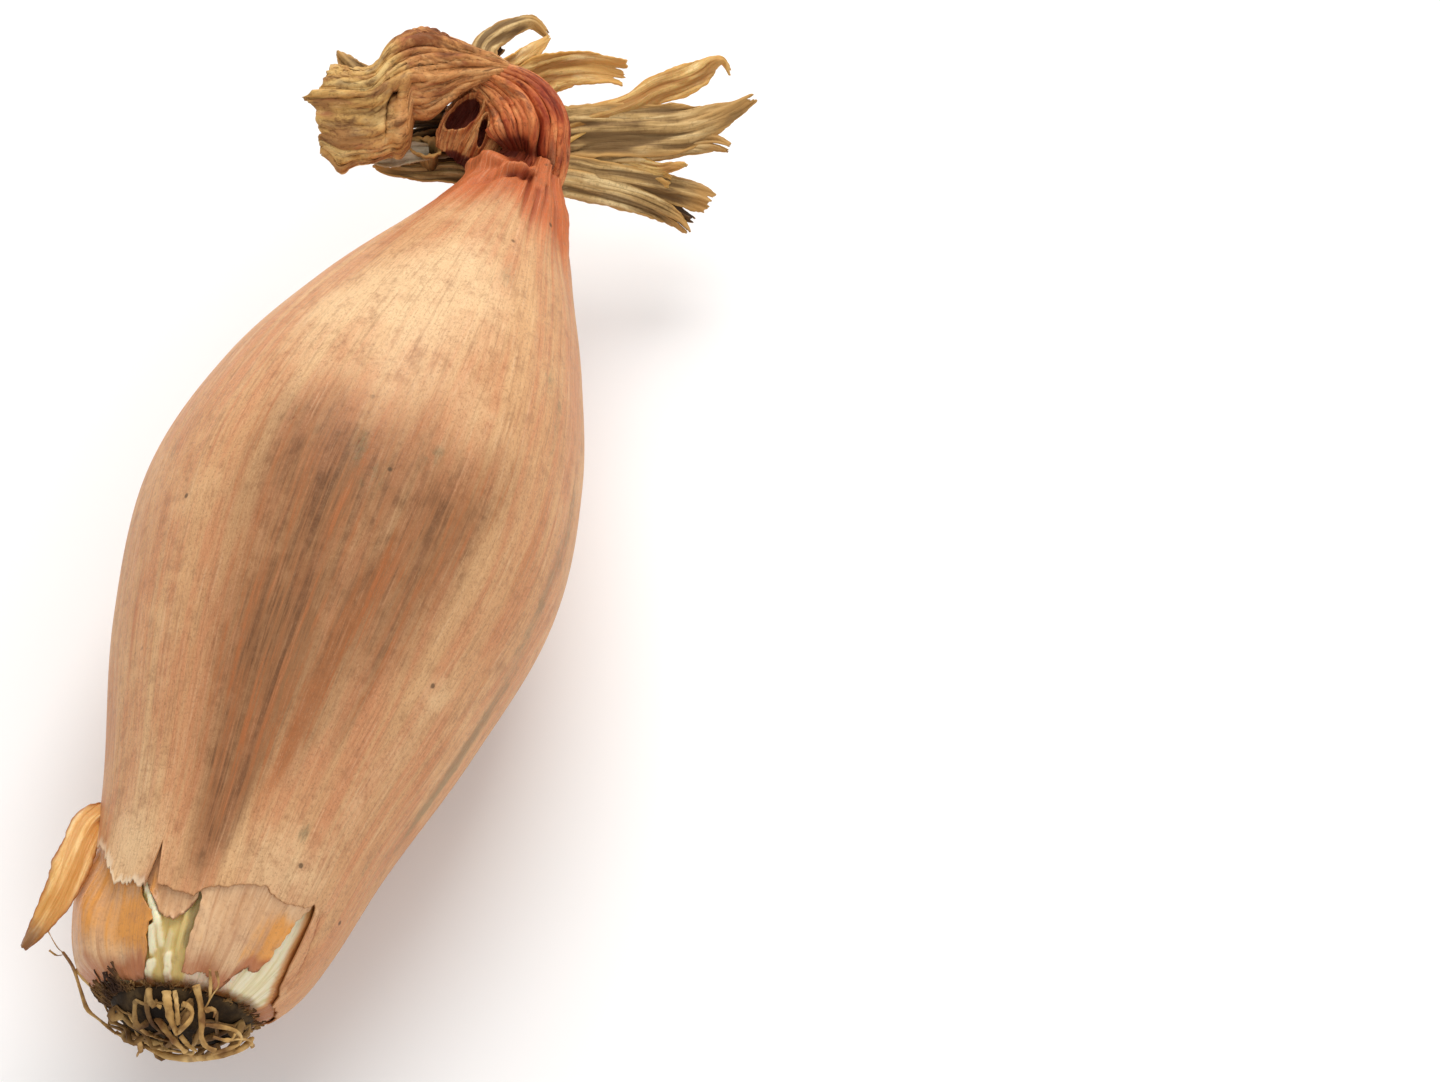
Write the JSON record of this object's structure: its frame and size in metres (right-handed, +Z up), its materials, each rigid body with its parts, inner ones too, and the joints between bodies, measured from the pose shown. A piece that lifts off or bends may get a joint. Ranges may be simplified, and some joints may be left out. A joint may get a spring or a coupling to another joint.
{
  "type": "shallot",
  "caption": "Elongated banana shallot lying on its side, with torn papery skin, a tuft of dried roots and a folded, splayed neck of dried leaves.",
  "frame": {"origin": "middle of the small flat spot that the shallot rests on", "axes": "+X along the bulb from the root end to the neck, +Z up, +Y to the left as seen from the root end looking along +X"},
  "size_m": [0.1282, 0.0447, 0.0425],
  "materials": {
    "fresh_flesh": "satin",
    "papery_skin": "satin",
    "loose_flake": "satin",
    "dried_roots": "matt",
    "dried_sheath": "matt",
    "straw_blades": "matt"
  },
  "bodies": {
    "root": {"bulb": "fresh_flesh", "outer_skin": "papery_skin", "skin_flake": "loose_flake", "root_tuft": "dried_roots", "folded_leaf": "dried_sheath", "straw_leaves": "straw_blades"}
  },
  "joints": []
}
